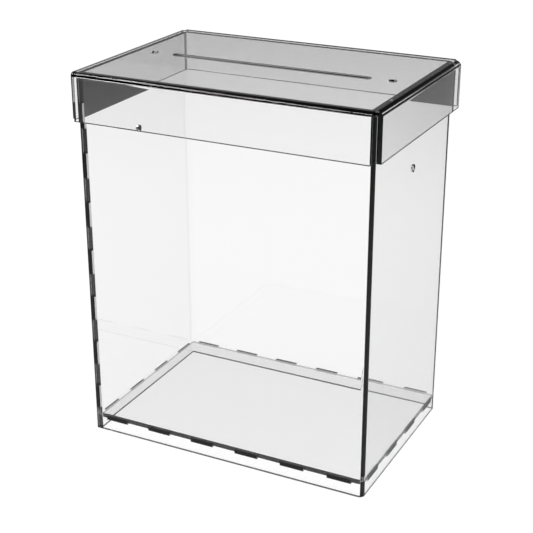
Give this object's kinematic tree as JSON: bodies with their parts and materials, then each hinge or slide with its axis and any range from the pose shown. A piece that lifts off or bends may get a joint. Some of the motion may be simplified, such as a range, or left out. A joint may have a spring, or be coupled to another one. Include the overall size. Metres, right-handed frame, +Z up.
{
  "type": "donation box",
  "caption": "Clear acrylic donation box: one sheet bent round into the walls and closed by a finger joint, a raised tabbed floor and a lift-off bent lid with a note slot and seal holes.",
  "frame": {"origin": "middle of the base, on the surface that the box stands on", "axes": "+Z up, +X to the right along the slot, +Y to the back"},
  "size_m": [0.1258, 0.0874, 0.1521],
  "materials": {
    "wall_acrylic": "clear polished sheet, heat-bent, with laser-cut edges",
    "lid_acrylic": "clear polished sheet, heat-bent"
  },
  "bodies": {
    "box": {"wall_wrap": "wall_acrylic", "floor_panel": "wall_acrylic"},
    "cover": {"lid": "lid_acrylic"}
  },
  "joints": [
    {"name": "lid_lift", "type": "slide", "parent": "box", "child": "cover", "axis": [0, 0, 1], "range_m": [0, 0.04]}
  ]
}
